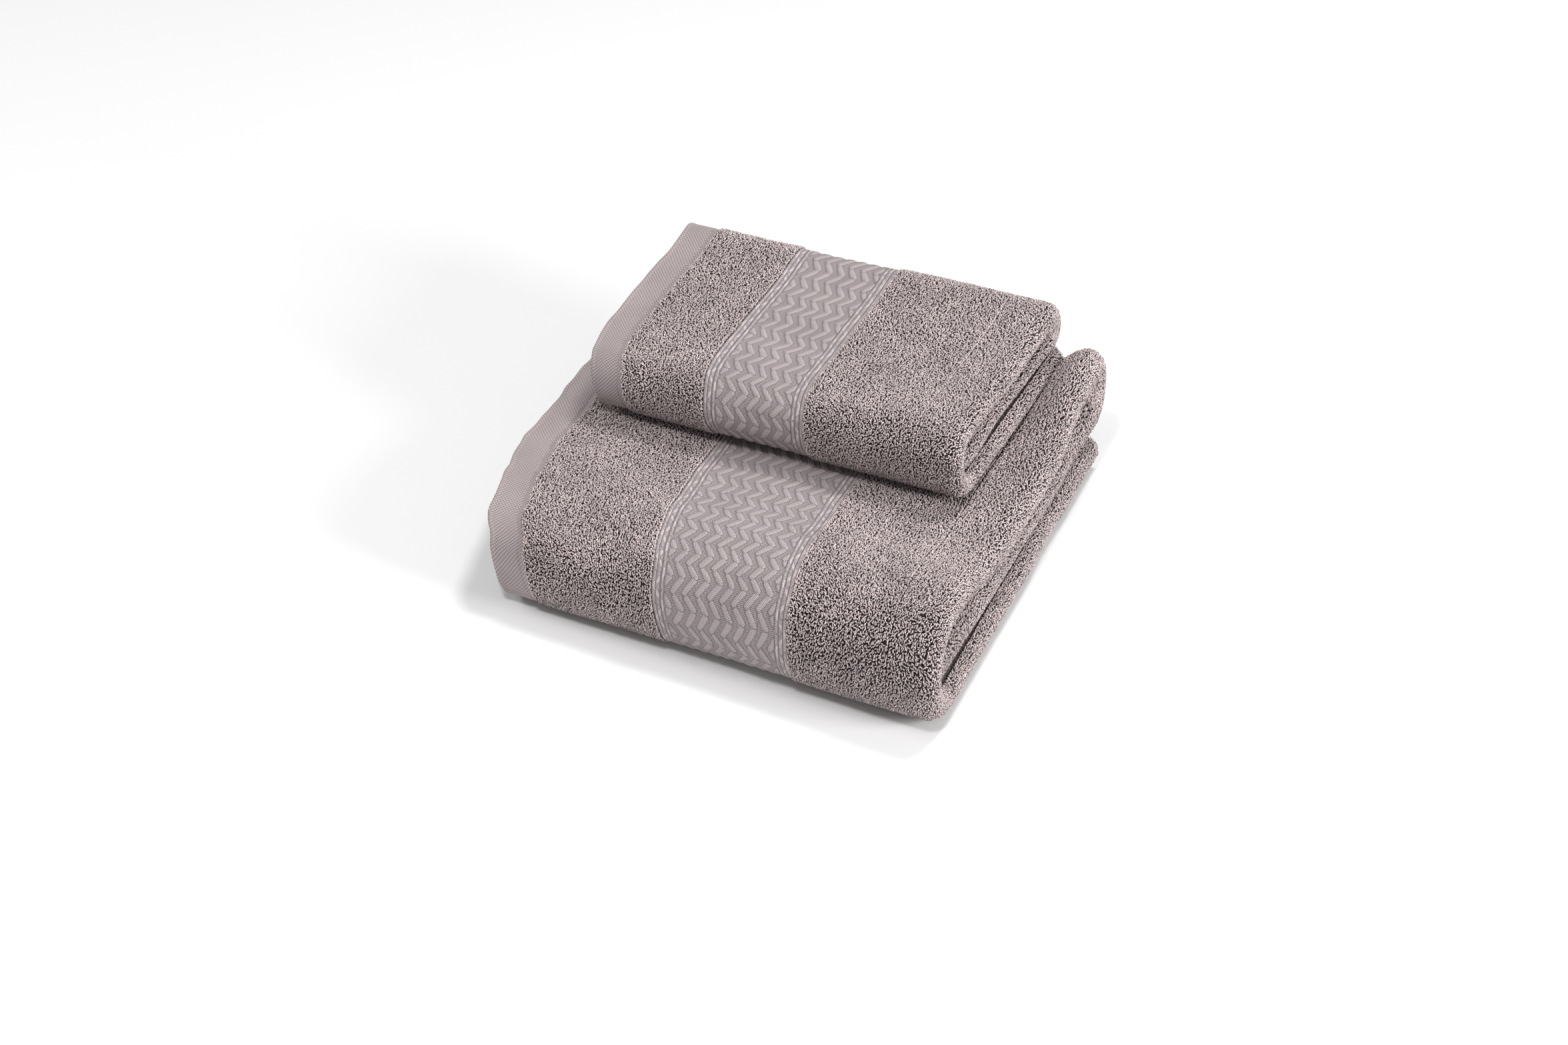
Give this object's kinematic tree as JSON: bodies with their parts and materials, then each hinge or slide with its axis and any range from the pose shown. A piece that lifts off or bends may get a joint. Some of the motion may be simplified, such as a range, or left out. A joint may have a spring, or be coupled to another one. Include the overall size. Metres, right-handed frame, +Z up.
{
  "type": "bath towel set",
  "caption": "Folded terry hand towel lying on a folded terry bath towel, each with a woven border and a flat hem, with folds that open.",
  "frame": {"origin": "middle of the bath towel's underside, on the surface that the set lies on", "axes": "+Z up; +X along the bath towel's longest side, from the hems to the end folds; -Y out of the spine of the lengthwise fold"},
  "size_m": [0.361, 0.336, 0.1441],
  "materials": {
    "terry": "matte cotton terry pile, mauve-grey",
    "border": "flat jacquard weave with raised herringbone bars and cords, slight sheen",
    "hem": "flat plain weave, matte"
  },
  "bodies": {
    "bath_lower": {"bath_hem_lower": "hem", "bath_end_pile_lower": "terry", "bath_border_lower": "border", "bath_main_pile_lower": "terry"},
    "bath_upper": {"bath_hem_upper": "hem", "bath_end_pile_upper": "terry", "bath_border_upper": "border", "bath_main_pile_upper": "terry", "bath_tucked_third": "terry"},
    "hand_lower": {"hand_hem_lower": "hem", "hand_end_pile_lower": "terry", "hand_border_lower": "border", "hand_main_pile_lower": "terry"},
    "hand_upper": {"hand_hem_upper": "hem", "hand_end_pile_upper": "terry", "hand_border_upper": "border", "hand_main_pile_upper": "terry", "hand_tucked_third": "terry"}
  },
  "joints": [
    {"name": "bath_fold", "type": "hinge", "parent": "bath_lower", "child": "bath_upper", "pos_m": [0, -0.1577, 0.02375], "axis": [0.9996, 0, 0.0265], "range_deg": [0, 45]},
    {"name": "hand_lift", "type": "slide", "parent": "bath_upper", "child": "hand_lower", "axis": [0, 0, 1], "range_m": [0, 0.25]},
    {"name": "hand_fold", "type": "hinge", "parent": "hand_lower", "child": "hand_upper", "pos_m": [-0.01219, -0.00969, 0.08989], "axis": [0.9953, -0.0419, 0.0878], "range_deg": [0, 120]}
  ]
}
